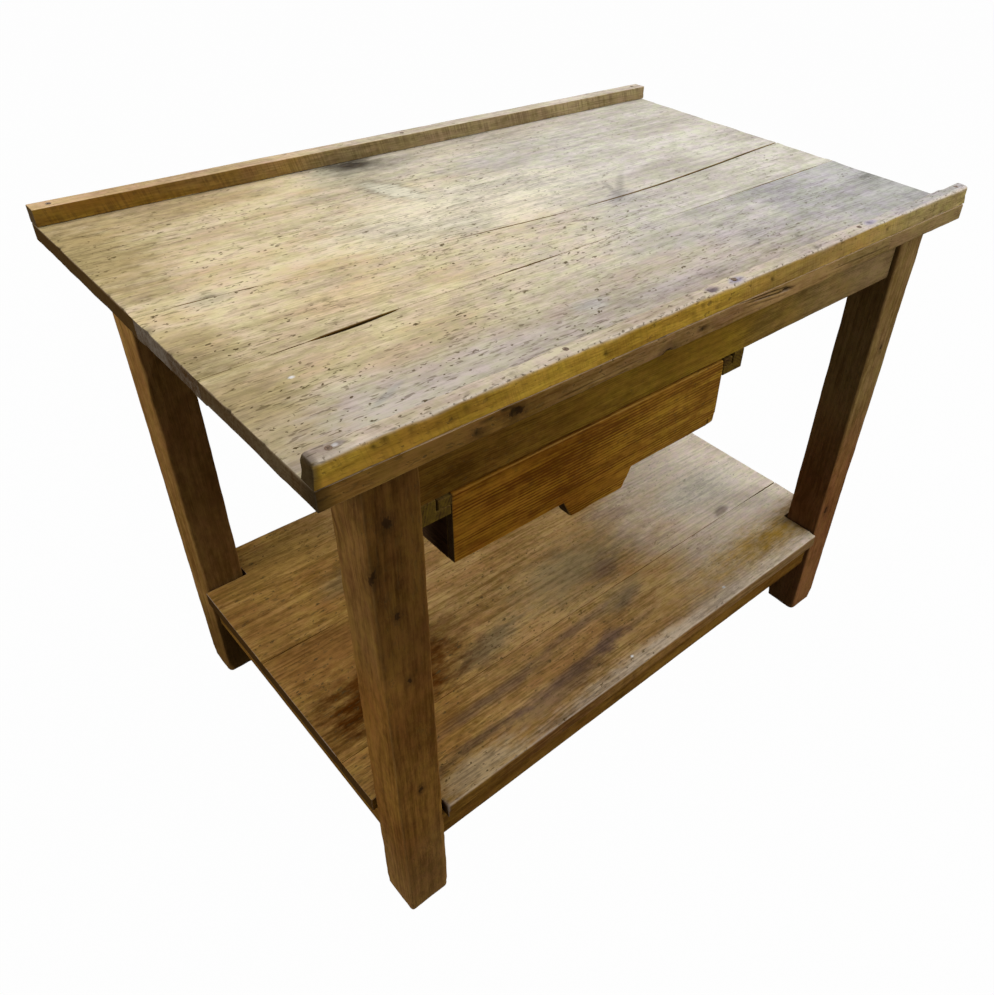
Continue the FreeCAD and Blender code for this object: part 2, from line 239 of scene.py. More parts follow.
def place_piece(name, mesh, node):
    """Shows a mesh in the place of a node, on the node's body."""
    piece = bpy.data.objects.new(name, mesh)
    bpy.context.scene.collection.objects.link(piece)
    bodies = frame["record"]["behaviour"]["bodies"]
    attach(piece, next(body for body, nodes in bodies.items() if node in nodes))
    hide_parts(node)


# Finishes

class Value:
    """A socket of a node tree, with the signs of arithmetic."""

    def __init__(self, nodes, socket):
        self.nodes = nodes
        self.socket = socket

    def __add__(self, other):
        return self.nodes.sum("ADD", self, other)

    def __sub__(self, other):
        return self.nodes.sum("SUBTRACT", self, other)

    def __rsub__(self, other):
        return self.nodes.sum("SUBTRACT", other, self)

    def __mul__(self, other):
        return self.nodes.sum("MULTIPLY", self, other)

    __radd__ = __add__
    __rmul__ = __mul__


class Nodes:
    """A node tree under construction. Each call adds a node, takes numbers or values for its inputs
    and gives back one of its outputs as a value. Colours are given without their alpha."""

    def __init__(self, tree):
        self.tree = tree

    def join(self, socket, given):
        if isinstance(given, Value):
            self.tree.links.new(given.socket, socket)
        else:
            socket.default_value = (*given, 1.0) if socket.type == "RGBA" else given

    def node(self, kind, inputs, **settings):
        made = self.tree.nodes.new(kind)
        for setting, value in settings.items():
            setattr(made, setting, value)
        for key, value in inputs.items():
            self.join(made.inputs[key], value)
        return made

    def add(self, kind, inputs, output=0, **settings):
        return Value(self, self.node(kind, inputs, **settings).outputs[output])

    def sum(self, operation, *values):
        return self.add("ShaderNodeMath", dict(enumerate(values)), operation=operation)

    def aim(self, operation, *values, output=0):
        return self.add("ShaderNodeVectorMath", dict(enumerate(values)), output, operation=operation)

    def mix(self, share, first, second, blend="MIX"):
        return self.add("ShaderNodeMix", {0: share, 6: first, 7: second}, 2, data_type="RGBA",
                        blend_type=blend)

    def fade(self, value, start, end, first=0.0, last=1.0):
        """Goes smoothly from first to last while value goes from start to end."""
        return self.add("ShaderNodeMapRange", {0: value, 1: start, 2: end, 3: first, 4: last},
                        interpolation_type="SMOOTHSTEP")

    def noise(self, place, scale, detail=2.0, roughness=0.5):
        return self.add("ShaderNodeTexNoise", {
            "Vector": place, "Scale": scale, "Detail": detail, "Roughness": roughness})

    def stretched_noise(self, place, along, across, detail, roughness=0.5):
        """Noise that is finer across the grain than along it."""
        return self.noise(self.stretch(place, along, across, across), 1.0, detail, roughness)

    def stretch(self, place, *scales):
        return self.aim("MULTIPLY", place, scales)

    def attribute(self, name):
        return self.add("ShaderNodeAttribute", {}, "Fac", attribute_name=name)

    def xyz(self, x, y, z):
        return self.add("ShaderNodeCombineXYZ", {0: x, 1: y, 2: z})

    def split(self, place):
        return [Value(self, part) for part in self.node("ShaderNodeSeparateXYZ", {0: place}).outputs]


class Paint(Nodes):
    """A material under construction."""

    def __init__(self, name):
        self.material = bpy.data.materials.new(name)
        self.material.use_nodes = True
        super().__init__(self.material.node_tree)

    def finish(self, **inputs):
        """Sets the shader's inputs, each named with underscores, and gives back the material."""
        shader = self.tree.nodes["Principled BSDF"]
        for name, value in inputs.items():
            self.join(shader.inputs[name.replace("_", " ")], value)
        return self.material


# A palette is the light wood, the dull wood and the blush of its blotches
# The palettes of faces that look up on the top are the bleached wood with painted sheen of its wax; far_straw
# and slate_straw add painted reflection of light from the right
near_straw = (0.74, 0.62, 0.4), (0.42, 0.34, 0.2), (0.62, 0.45, 0.26)
far_straw = (0.71, 0.68, 0.59), (0.42, 0.39, 0.33), (0.57, 0.51, 0.44)
front_straw = (0.56, 0.5, 0.42), (0.3, 0.26, 0.2), (0.46, 0.38, 0.3)
edge_brown = (0.3, 0.165, 0.036), (0.13, 0.06, 0.01), (0.22, 0.11, 0.03)
far_edge_brown = (0.36, 0.26, 0.105), (0.18, 0.12, 0.042), (0.28, 0.18, 0.085)
leg_brown = (0.29, 0.135, 0.048), (0.135, 0.052, 0.015), (0.25, 0.1, 0.036)
upper_leg_gold = (0.29, 0.19, 0.07), (0.14, 0.077, 0.022), (0.25, 0.145, 0.052)
near_leg_brown = (0.24, 0.128, 0.034), (0.096, 0.044, 0.012), (0.185, 0.086, 0.026)
# Painted shade for the front face of the front left leg
near_leg_painted_shade = (0.17, 0.082, 0.018), (0.066, 0.027, 0.006), (0.13, 0.054, 0.014)
lower_leg_brown = (0.29, 0.142, 0.031), (0.12, 0.051, 0.01), (0.228, 0.095, 0.022)
scuffed_brown = (0.33, 0.175, 0.054), (0.155, 0.079, 0.022), (0.26, 0.126, 0.038)
dusky_brown = (0.2, 0.105, 0.027), (0.085, 0.038, 0.008), (0.16, 0.07, 0.02)
rear_leg_brown = (0.36, 0.2, 0.058), (0.158, 0.075, 0.017), (0.29, 0.138, 0.042)
apron_brown = (0.28, 0.148, 0.026), (0.11, 0.046, 0.008), (0.2, 0.087, 0.018)
far_apron_brown = (0.38, 0.245, 0.105), (0.18, 0.105, 0.04), (0.28, 0.165, 0.07)
# Painted shadow for the left end of the front apron, under the top
apron_painted_shadow = (0.2, 0.1, 0.016), (0.07, 0.028, 0.004), (0.14, 0.056, 0.009)
apron_gold = (0.38, 0.233, 0.028), (0.165, 0.093, 0.01), (0.28, 0.157, 0.019)
apron_far = (0.31, 0.21, 0.092), (0.135, 0.085, 0.032), (0.22, 0.14, 0.058)
rail_brown = (0.29, 0.15, 0.028), (0.1, 0.042, 0.007), (0.19, 0.083, 0.014)
shelf_orange = (0.48, 0.29, 0.084), (0.19, 0.097, 0.021), (0.36, 0.175, 0.048)
shelf_tan = (0.46, 0.3, 0.118), (0.185, 0.103, 0.03), (0.35, 0.185, 0.066)
# Painted reflection: the shelf's right end paler and greyer
far_shelf_tan = (0.86, 0.77, 0.63), (0.56, 0.48, 0.37), (0.76, 0.63, 0.5)
shelf_edge_brown = (0.35, 0.188, 0.052), (0.138, 0.06, 0.016), (0.25, 0.113, 0.034)
drawer_orange = (0.35, 0.16, 0.015), (0.115, 0.037, 0.004), (0.23, 0.08, 0.008)
drawer_gold = (0.5, 0.28, 0.034), (0.17, 0.068, 0.01), (0.34, 0.145, 0.02)
runner_olive = (0.18, 0.113, 0.027), (0.07, 0.04, 0.011), (0.12, 0.068, 0.02)
# Painted shade: the drawer's sides darkened as if deep in the shade under the top
drawer_side_painted_shade = (0.085, 0.045, 0.022), (0.036, 0.018, 0.01), (0.06, 0.03, 0.016)
side_brown = (0.25, 0.145, 0.056), (0.115, 0.06, 0.021), (0.19, 0.1, 0.038)
raw_inside = (0.34, 0.2, 0.08), (0.17, 0.09, 0.03), (0.28, 0.14, 0.05)
middle_edge = (0.405, 0.254, 0.093), (0.175, 0.092, 0.026), (0.297, 0.17, 0.077)
slate_straw = (0.54, 0.53, 0.51), (0.31, 0.3, 0.285), (0.44, 0.41, 0.42)
# The strip's pale top is worn wood with painted sheen, and far_rose greyer still with painted reflection
# towards the right end
strip_rose = (0.64, 0.55, 0.42), (0.38, 0.31, 0.22), (0.58, 0.47, 0.36)
far_rose = (0.56, 0.53, 0.51), (0.33, 0.31, 0.3), (0.5, 0.44, 0.42)
strip_gold = (0.64, 0.4, 0.054), (0.285, 0.152, 0.018), (0.46, 0.24, 0.034)
far_gold = (0.49, 0.385, 0.15), (0.235, 0.165, 0.062), (0.37, 0.265, 0.122)
strip_tan = (0.7, 0.52, 0.28), (0.42, 0.28, 0.14), (0.62, 0.4, 0.24)
far_tan = (0.73, 0.66, 0.53), (0.44, 0.375, 0.285), (0.62, 0.52, 0.4)
strip_moss = (0.27, 0.155, 0.025), (0.13, 0.065, 0.01), (0.22, 0.1, 0.02)
far_moss = (0.37, 0.295, 0.15), (0.175, 0.13, 0.06), (0.29, 0.205, 0.11)

# Single colours, and how high the finishes stand
pale_arris = (0.36, 0.2, 0.065)
chalky_arris = (0.74, 0.64, 0.53)
crack_black = (0.022, 0.014, 0.006)
fleck_brown = (0.085, 0.058, 0.022)
knot_brown = (0.055, 0.028, 0.01)
knot_heart = (0.026, 0.013, 0.006)
end_umber = (0.088, 0.064, 0.036)
shelf_end = (0.058, 0.028, 0.008)
runner_end = (0.135, 0.083, 0.012)
pale_end = (0.145, 0.122, 0.098)
dark_end = (0.058, 0.033, 0.012)
moss_tint = (0.985, 1.015, 0.92)
plum_tint = (1.025, 0.975, 1.06)
iron_grey = (0.17, 0.115, 0.075)
rust_brown = (0.12, 0.065, 0.035)
grain_relief = 0.35 * mm
rust_relief = 0.15 * mm


# A slow change of palettes along one axis of the table, full from its end onwards. The sides take
# the second palette, or the first one too if it is missing. With None for top, the faces that look
# up keep their colour.
Wash = namedtuple("Wash", "axis start end top side", defaults=(None,))

# A soft mark of colour on a face that looks up, as an oval turned by an angle from the X axis: mostly stains,
# with painted sheen and a painted glint in places
Mark = namedtuple("Mark", "x y length width strength colour soft turn", defaults=(0.9, 0))

# A knot that runs through the wood along one axis of the table, or a round one with None
Knot = namedtuple("Knot", "x y z width across strength", defaults=(1.0,))


def pine(name, axis, seed, top, side, washes=(), ring=3.6, contrast=0.5, pith=(60, 55), tilt=0.02,
         flecks=0.35, calm=1.0, worn=0.5, rubbed=pale_arris, arris_pits=0.0, painted_under_shade=0.0, saw=0.0,
         knots=(), marks=(), end_wood=end_umber):
    """Old pine with its grain along an axis. top and side are palettes of the faces that look up and
    of the others. ring and pith are in millimetres. calm is the share of its flecks that the wood
    still has at the right end of the table."""
    paint = Paint(name)
    mix, fade, noise = paint.mix, paint.fade, paint.stretched_noise
    place = paint.add("ShaderNodeTexCoord", {}, "Object")
    facing = paint.add("ShaderNodeNewGeometry", {}, "Normal")
    table = paint.split(place)
    towards = paint.split(facing)
    order = ((0, 1, 2), (1, 0, 2), (2, 1, 0))[axis]
    along, wide, deep = (table[index] for index in order)
    up = fade(towards[2], 0.35, 0.85)

    # Knots push the grain aside
    knot_share = 0.0
    knot_wide = wide
    knot_edge = (paint.noise(place, 160.0, 2.0, 0.6) - 0.5) * 0.9
    for knot in knots:
        middle = (knot.x * mm, knot.y * mm, knot.z * mm)
        flatten = [0.0 if knot.across == other else 1.0 for other in range(3)]
        offset = paint.stretch(paint.aim("SUBTRACT", place, middle), *flatten)
        squeezed = [1 / (knot.width * mm)] * 3
        squeezed[axis] *= 0.6
        distance = paint.aim("LENGTH", paint.stretch(offset, *squeezed), output=1)
        bulge = fade(distance, 0.0, 2.2, 0.75 * knot.strength, 0.0)
        knot_wide = knot_wide - (knot_wide - middle[order[1]]) * bulge
        distance = distance + knot_edge
        core = fade(distance, 0.22, 0.48, knot.strength, 0.0)
        halo = fade(distance, 0.3, 1.1, 0.45 * knot.strength, 0.0)
        knot_share = paint.sum("MAXIMUM", knot_share, paint.sum("MAXIMUM", core, halo))
    grain = paint.xyz(along + seed * 1.31, knot_wide + seed * 0.57, deep + seed * 0.83)

    # Growth rings round a pith that runs along the piece, outside it
    swerve = noise(grain, 2.2, 6.0, 2.0) - 0.5
    wobble = noise(grain, 11.0, 45.0, 2.0) - 0.5
    bend = swerve * (26 * mm) + wobble * (3.0 * mm)
    from_pith = paint.xyz(knot_wide - pith[0] * mm + bend + along * tilt, deep - pith[1] * mm + bend, 0.0)
    years = paint.aim("LENGTH", from_pith, output=1) * (1 / (ring * mm))
    year = paint.sum("FRACT", years)
    late = fade(year, 0.25, 0.86) * fade(year, 0.88, 1.0, 1.0, 0.0)
    good_years = paint.noise(paint.xyz(years * 0.31, along * 3.0, seed * 3.1), 1.0, 1.0)
    late = late * fade(good_years, 0.3, 0.7, 0.15, 1.0)

    # Fibres, streaks and blotches
    streak = noise(grain, 9.0, 150.0, 4.0, 0.6)
    fibre = noise(grain, 38.0, 620.0, 3.0, 0.6)
    cloud = noise(grain, 6.0, 12.0, 4.0, 0.6)
    crowd = noise(grain, 9.0, 16.0, 2.0)
    mottle = noise(grain, 70.0, 130.0, 4.0, 0.7)
    darkness = late * contrast
    for blotches, start, end, least, most in (
            (streak, 0.28, 0.72, -0.08, 0.42), (fibre, 0.25, 0.75, -0.1, 0.34),
            (cloud, 0.28, 0.72, -0.28, 0.38), (mottle, 0.32, 0.68, -0.16, 0.2)):
        darkness = darkness + fade(blotches, start, end, least, most)
    darkness = paint.sum("MAXIMUM", paint.sum("MINIMUM", darkness, 1.25), -0.15)
    blush = fade(noise(grain, 7.0, 22.0, 3.0, 0.6), 0.42, 0.68, 0.0, 0.75)

    def shades(top_palette, side_palette):
        """The wood's colour from one pair of palettes."""
        light, dull, warm = (mix(up, below, above)
                             for above, below in zip(top_palette, side_palette))
        return mix(darkness, mix(blush, light, warm), dull)

    colour = shades(top, side)
    for wash in washes:
        uneven = (cloud - 0.5) * (abs(wash.end - wash.start) * mm * 1.1)
        share = fade(table[wash.axis] + uneven, wash.start * mm, wash.end * mm)
        if wash.top is None:
            share = share * (1.0 - up)
        colour = mix(share, colour, shades(wash.top or wash.side, wash.side or wash.top))

    # The hue wanders between moss and plum
    hue = noise(grain, 45.0, 75.0, 3.0, 0.6)
    tint = mix(fade(hue, 0.32, 0.68), moss_tint, plum_tint)
    colour = mix(1.0, colour, tint, "MULTIPLY")

    # Saw marks stand across the grain
    if saw:
        travel = table[0] + table[2] * 0.3 + table[1] * 0.18
        strokes = paint.noise(paint.xyz(travel * 170.0, seed * 2.7, 0.0), 1.0, 1.0, 0.5)
        line = fade(paint.sum("ABSOLUTE", strokes - 0.5), 0.01, 0.09, 1.0, 0.0)
        line = line * fade(noise(place, 30.0, 90.0, 2.0), 0.35, 0.62, 0.15, 1.0)
        colour = mix(line * fade(up, 0.0, 1.0, saw, saw * 0.4), colour, knot_brown)

    # Marks laid on one by one, their edges ragged: stains, with painted sheen and a painted glint in places
    ragged = (noise(grain, 34.0, 80.0, 5.0, 0.65) - 0.5) * 1.35
    tone = fade(darkness, 0.0, 1.0, 1.25, 0.65)
    tone = paint.xyz(tone, tone, tone)
    for mark in marks:
        offset = paint.aim("SUBTRACT", place, (mark.x * mm, mark.y * mm, 0.0))
        turned = paint.add("ShaderNodeVectorRotate", {
            "Vector": offset, "Angle": -math.radians(mark.turn)}, rotation_type="Z_AXIS")
        oval = paint.stretch(turned, 2 / (mark.length * mm), 2 / (mark.width * mm), 0.0)
        distance = paint.aim("LENGTH", oval, output=1) + ragged
        share = fade(distance, 1.2 - mark.soft, 1.2, mark.strength, 0.0) * up
        colour = mix(share, colour, mix(1.0, mark.colour, tone, "MULTIPLY"))

    # End grain is dark, and the faces that look in under the table get painted shade
    end = fade(paint.sum("ABSOLUTE", towards[order[0]]), 0.45, 0.75, 0.0, 0.92)
    colour = mix(end, colour, mix(darkness, end_wood, knot_brown))
    if painted_under_shade:
        inwards = paint.aim("NORMALIZE", paint.stretch(place, -1.0, -1.0, 0.0))
        inward = paint.aim("DOT_PRODUCT", facing, inwards, output=1)
        colour = mix(fade(inward, 0.2, 0.5, 0.0, painted_under_shade), colour, knot_brown)

    # Knots, worm holes and short dark dashes
    colour = mix(knot_share * 0.9, colour, knot_heart)
    pit = fade(noise(grain, 75.0, 360.0, 1.0), 0.61, 0.69, 0.0, 0.6)
    stir = noise(grain, 150.0, 260.0, 1.0)
    for size, longer, share_of_cells, widest in ((9.5 * mm, 0.55, 0.55, 0.22), (5.5 * mm, 0.65, 0.5, 0.24)):
        cell_place = paint.aim("ADD", paint.stretch(grain, longer / size, 1 / size, 1 / size),
                               paint.xyz(stir, stir, stir))
        cells = paint.node("ShaderNodeTexVoronoi", {"Vector": cell_place, "Scale": 1.0}).outputs
        chance = paint.split(Value(paint, cells["Color"]))[0]
        reach = fade(chance, 1 - share_of_cells, 1.0, 0.05, widest)
        hole = fade(Value(paint, cells["Distance"]) - reach, -0.05, 0.05, 1.0, 0.0)
        pit = paint.sum("MAXIMUM", pit, hole * paint.sum("GREATER_THAN", chance, 1 - share_of_cells))
    pit = pit * fade(crowd, 0.36, 0.6, 0.4, 1.0)
    pit_share = pit * fade(up, 0.0, 1.0, flecks * 0.7, flecks)
    if calm < 1.0:
        pit_share = pit_share * fade(table[0], -150 * mm, 300 * mm, 1.0, calm)
    if arris_pits:
        chip = fade(noise(place, 190.0, 240.0, 3.0, 0.6), 0.54, 0.66)
        pit_share = paint.sum("MAXIMUM", pit_share, chip * paint.attribute("worn") * arris_pits)

    # Arrises rubbed pale, and dirt in the hollows
    bare = paint.attribute("worn") * fade(cloud, 0.35, 0.62, 0.25, 1.0) * (1.0 - knot_share)
    colour = mix(bare * worn, colour, rubbed)
    colour = mix(pit_share, colour, fleck_brown)
    colour = mix(paint.attribute("dark"), colour, crack_black)

    # Surface: late wood stands proud, flecks are sunk, wax is patchy
    height = late * 0.4 + fibre * 0.6 + streak * 0.8 - pit_share * 2.0
    bump = paint.add("ShaderNodeBump", {"Strength": 0.9, "Distance": grain_relief, "Height": height})
    roughness = fade(cloud, 0.3, 0.75, 0.5, 0.72)
    return paint.finish(Base_Color=colour, Normal=bump, Roughness=roughness, Specular_IOR_Level=0.0)


def iron(name):
    """Old nail iron: dark, blotched with rust."""
    paint = Paint(name)
    blotch = paint.noise(paint.add("ShaderNodeTexCoord", {}, "Object"), 700.0, 4.0, 0.6)
    colour = paint.mix(paint.fade(blotch, 0.4, 0.62), iron_grey, rust_brown)
    bump = paint.add("ShaderNodeBump", {"Strength": 0.6, "Distance": rust_relief, "Height": blotch})
    roughness = paint.fade(blotch, 0.35, 0.7, 0.38, 0.75)
    return paint.finish(Base_Color=colour, Normal=bump, Roughness=roughness, Metallic=0.4)


# Sizes that the boxes of the frame don't give

foot_corner = 9 * mm
foot_wear = 34 * mm
foot_rub = 38 * mm
tenon_length = 30 * mm
tenon_thickness = 10 * mm
tenon_shoulder = 10 * mm
mortise_clearance = 0.2 * mm
mortise_end_gap = 2 * mm
notch_gap = 3 * mm
tab_top_width = 107 * mm
tab_bottom_width = 82 * mm
beyond = 50 * mm
top_arris = 2.4
nail_tilt = 0.04

leg_names = ("leg_front_left", "leg_front_right", "leg_rear_left", "leg_rear_right")
long_rails = ("apron_front", "apron_rear", "shelf_rail_front", "shelf_rail_rear")
cross_rails = ("apron_left", "apron_right", "shelf_rail_left", "shelf_rail_right")
nail_nodes = ("top_board_nails", "front_rim_nails", "rear_rim_nails", "shelf_board_nails", "runner_nails",
              "drawer_nails")


def box(node):
    low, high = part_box(node)
    return np.array(low), np.array(high)


# The top: three boards whose joints wander and gape in places. A joint is its route, as places
# (x, y), and its openings, as (start, end, width).

front_joint = (((-510, -121), (-389, -118), (-295, -113), (-110, -112), (300, -106), (510, -103)),
               ((-398, -293, 5.6), (-160, -66, 1.5), (285, 470, 1.3), (-440, -398, 0.8)))
rear_joint = (((-510, 24), (-440, 24), (-300, 8), (-129, -6), (28, -20), (190, -20), (300, -13), (510, 5)),
              ((60, 560, 3.5), (-135, 30, 1.6), (-470, -430, 1.0), (-405, -380, 1.0)))


def wander(x, route):
    """A smooth line through the places of a route."""
    places = np.array(route) * mm
    steps = np.linspace(-54, 54, 17) * mm
    return np.mean([np.interp(x + step, places[:, 0], places[:, 1]) for step in steps], axis=0)


def gape(x, openings):
    """How wide a joint stands open along the boards."""
    width = np.full(len(x), 0.05 * mm)
    for start, end, most in openings:
        share = (x / mm - start) / (end - start)
        width = np.maximum(width, np.clip(4 * share * (1 - share), 0, 1) ** 0.6 * most * mm)
    return width


def plank(node, name, finish, slot, joints, shape, radius, seed, band=()):
    """A board between its two joints, each None or a route and its openings."""
    low, high = box(node)
    joints = [(edge, side, *joint) for edge, side, joint in zip((low[1], high[1]), (1, -1), joints) if joint]

    def arris(flat):
        """Nearly sharp where a joint is tight, and rounder where it gapes."""
        size = radius(flat) if callable(radius) else radius
        for edge, _, _, openings in joints:
            beside = np.abs(flat[:, 1] - edge) < 10 * mm
            size = np.where(beside, 0.05 + 0.28 * gape(flat[:, 0], openings) / mm, size)
        return size

    notches = leg_notches(low, high) if slot == "shelf_wood" else ()
    wood = Wood(low, high, (6, 5, 8), arris, notches, band)
    wood.roughen(0.55, (160, 35, 50), seed)
    wood.roughen(0.25, (50, 9, 30), seed + 1)
    if shape:
        shape(wood)
    x = wood.flat[:, 0]
    tall = (wood.flat[:, 2] - low[2]) / (high[2] - low[2])
    share = (wood.points[:, 1] - low[1]) / (high[1] - low[1])
    lines = {1: low[1], -1: high[1]}
    for edge, side, route, openings in joints:
        width = gape(x, openings)
        lines[side] = wander(x, route) + side * width / 2 * (0.15 + 0.85 * tall)
        nearness = np.abs(wood.flat[:, 1] - edge)
        wall = (nearness < 0.1 * mm) & (wood.flat[:, 2] < high[2] - 2 * mm)
        wood.dark = np.maximum(wood.dark, np.where(wall, np.clip(width / (0.6 * mm), 0, 0.85), 0))
        wood.worn = np.where(nearness < 3 * mm, wood.worn * 0.1, wood.worn)
    wood.points[:, 1] = lines[1] + share * (lines[-1] - lines[1])
    wood.place(name, finish, node, slot)


def nicked_ends(wood, nicks):
    """Nicks in the upper arris of the left end, given by their Y, size and depth."""
    for y, size, depth in nicks:
        wood.bite((wood.low[0] / mm, y, wood.high[2] / mm), (size * 1.4, size * 0.7, size),
                  (depth * 0.6, 0, -depth * 0.5), 0.6)


def shallow_dents(wood, places, size, dark):
    """Dents 1 mm deep in the face that looks up."""
    for x, y in places:
        wood.dent((x, y, wood.high[2] / mm), size, 1.0, dark)


def shape_front_board(wood):
    nicked_ends(wood, ((-172, 9, 4), (-236, 6, 2), (-140, 5, 1)))
    for x, y, length, width, depth in (
            (163, -166, 22, 7, 1.6), (111, -179, 18, 5, 1.2), (217, -247, 12, 5, 1.2),
            (155, -233, 14, 5, 1.2), (8, -163, 6, 4, 1.2), (-391, -184, 8, 4, 1.2),
            (-469, -191, 9, 5, 1.4), (-330, -240, 7, 4, 1.0)):
        wood.dent((x, y, wood.high[2] / mm), (length / 1.6, width / 1.6, 5), depth, 0.55)
    front = wood.low[1] / mm
    for x, z, length, height, depth in (
            (-312, 770, 5, 8, 3.5), (-322, 777, 8, 4, 2.0), (-353, 765, 5, 6, 2.5), (-345, 774, 6, 4, 1.5),
            (-106, 759, 7, 6, 3.0), (-54, 768, 12, 5, 1.5)):
        wood.dent((x, front, z), (length, 12, height), depth, 0.85)
    for start, end, width, depth, dark in (
            ((4, 779.5), (98, 773.5), 1.5, 1.6, 1.0), ((22, 775), (104, 768), 1.7, 2.4, 1.0),
            ((84, 772), (105, 769), 3.0, 3.5, 1.0), ((14, 771), (92, 764), 1.4, 0.8, 0.5),
            ((180, 769), (330, 766), 1.3, 0.8, 0.6), ((-260, 763), (-130, 766), 1.3, 0.8, 0.5)):
        wood.slit((start[0], front, start[1]), (end[0], front, end[1]), width, depth, dark)
    from_edge = (wood.flat[:, 1] - wood.low[1]) / mm
    seam = (np.abs(from_edge) < 4) & (wood.flat[:, 2] > wood.high[2] - 4 * mm)
    wood.worn = np.where(seam, wood.worn * 0.3, wood.worn)
    from_end = (wood.flat[:, 0] - wood.low[0]) / mm
    corner = np.clip(1 - from_end / 16, 0, 1) * np.clip(1 - from_edge / 26, 0, 1)
    wood.dark = np.maximum(wood.dark, 0.75 * np.sqrt(corner))


def shape_middle_board(wood):
    nicked_ends(wood, ((-31, 9, 4), (-70, 5, 1.5)))
    shallow_dents(wood, ((-288, -12), (-340, -60), (-120, -75), (210, -60)), (7, 3, 6), 0.5)


def shape_rear_board(wood):
    nicked_ends(wood, ((224, 9, 4), (60, 5, 1.5), (20, 6, 2)))
    shallow_dents(wood, ((-334, 149), (-420, 60), (-180, 90), (60, 120), (250, 180)), (8, 3.5, 6), 0.45)


def make_top():
    violet = (0.4, 0.36, 0.4)
    slate = (0.27, 0.26, 0.24)
    olive = (0.33, 0.25, 0.11)
    marks = (
        Mark(-125, -227, 58, 30, 0.55, (0.62, 0.59, 0.58)), Mark(-392, -242, 60, 10, 0.55, slate, turn=25),
        Mark(-505, -200, 160, 260, 0.65, olive), Mark(163, -200, 150, 70, 0.35, violet, turn=10),
        Mark(0, -250, 240, 40, 0.25, violet), Mark(504, -173, 60, 22, 0.75, slate),
        Mark(500, -215, 150, 230, 0.55, (0.34, 0.345, 0.32), 1.1),
        Mark(-443, -165.5, 9, 6, 1.0, (0.85, 0.83, 0.8)),
        Mark(-480, -300, 90, 40, 0.4, (0.42, 0.38, 0.22)),
        Mark(0, -323, 2400, 11, 0.9, (0.44, 0.29, 0.15), 0.3), Mark(-505, -60, 130, 140, 0.6, olive),
        Mark(-330, -60, 160, 70, 0.35, (0.66, 0.47, 0.27)), Mark(133, -30, 70, 40, 0.35, violet),
        Mark(-112, 276, 170, 84, 0.8, (0.3, 0.28, 0.21), turn=-10),
        Mark(-101, 287, 84, 42, 1.0, (0.055, 0.045, 0.036), turn=-6),
        Mark(-148, 232, 130, 56, 0.65, (0.37, 0.34, 0.24), turn=-24),
        Mark(-112, 174, 124, 60, 0.75, (0.3, 0.27, 0.2), 0.7, turn=-66),
        Mark(-110, 170, 92, 36, 1.0, (0.56, 0.52, 0.4), 0.6, turn=-66),
        Mark(159, 13, 112, 17, 0.7, (0.22, 0.2, 0.17), 1.1, turn=44),
        Mark(138, 12, 86, 14, 0.65, (0.23, 0.21, 0.18), 1.1, turn=68),
        Mark(126, -16, 70, 30, 0.6, (0.3, 0.28, 0.27), turn=30),
        Mark(150, 40, 190, 100, 0.3, (0.46, 0.43, 0.38), turn=30),
        Mark(-60, 70, 480, 200, 0.45, (0.8, 0.74, 0.58)), Mark(-500, 190, 190, 320, 0.85, olive),
        Mark(-380, 270, 340, 110, 0.6, (0.36, 0.26, 0.12)),
        Mark(110, 275, 440, 90, 0.5, (0.42, 0.35, 0.26)), Mark(-433, 20, 70, 40, 0.45, (0.4, 0.36, 0.26)),
    )
    high = box("top_board_front")[1]
    joints = (None, front_joint, rear_joint, None)
    # Towards the right end the top turns paler and greyer with painted reflection of light from the right
    far = Wash(0, -340, 200, far_straw, far_edge_brown)
    front_washes = (far, Wash(1, -150, -255, front_straw, edge_brown), Wash(0, -330, -90, None, middle_edge),
                    Wash(0, 60, 420, slate_straw, far_edge_brown))
    front_knots = (Knot(-312, -324, 770, 15, None), Knot(-353, -324, 765, 10, None, 0.9),
                   Knot(-106, -324, 757, 18, None))

    def front_arris(flat):
        """Nearly sharp under the strip, rounder elsewhere."""
        under_strip = (flat[:, 1] < -300 * mm) & (flat[:, 2] > high[2] - 10 * mm)
        return np.where(under_strip & (np.abs(flat[:, 0]) < high[0] - 5 * mm), 1.5, top_arris)

    split_band = (763 * mm, 779 * mm, 1.1 * mm)
    looks = {
        "front": (shape_front_board, front_arris, split_band, front_washes, (-300, 700), 0.9, front_knots,
                  end_umber),
        "middle": (shape_middle_board, top_arris, (), (far,), (100, 690), 0.85, (), pale_end),
        "rear": (shape_rear_board, top_arris, (), (far,), (260, 650), 0.7,
                 (Knot(-433, 24, 780, 10, 2, 0.5),), dark_end),
    }
    for index, (side, look) in enumerate(looks.items()):
        shape, arris, band, washes, pith, flecks, knots, end_wood = look
        finish = pine("pale_top_" + side, 0, 1, near_straw, edge_brown, washes, ring=4.2, contrast=0.26,
                      pith=pith, flecks=flecks, calm=0.6, worn=0.3, rubbed=(0.56, 0.43, 0.27), knots=knots,
                      marks=marks, end_wood=end_wood)
        plank("top_board_" + side, "top_plank_" + side, finish, "top_wood", joints[index:index + 2],
              shape, arris, 4, band)


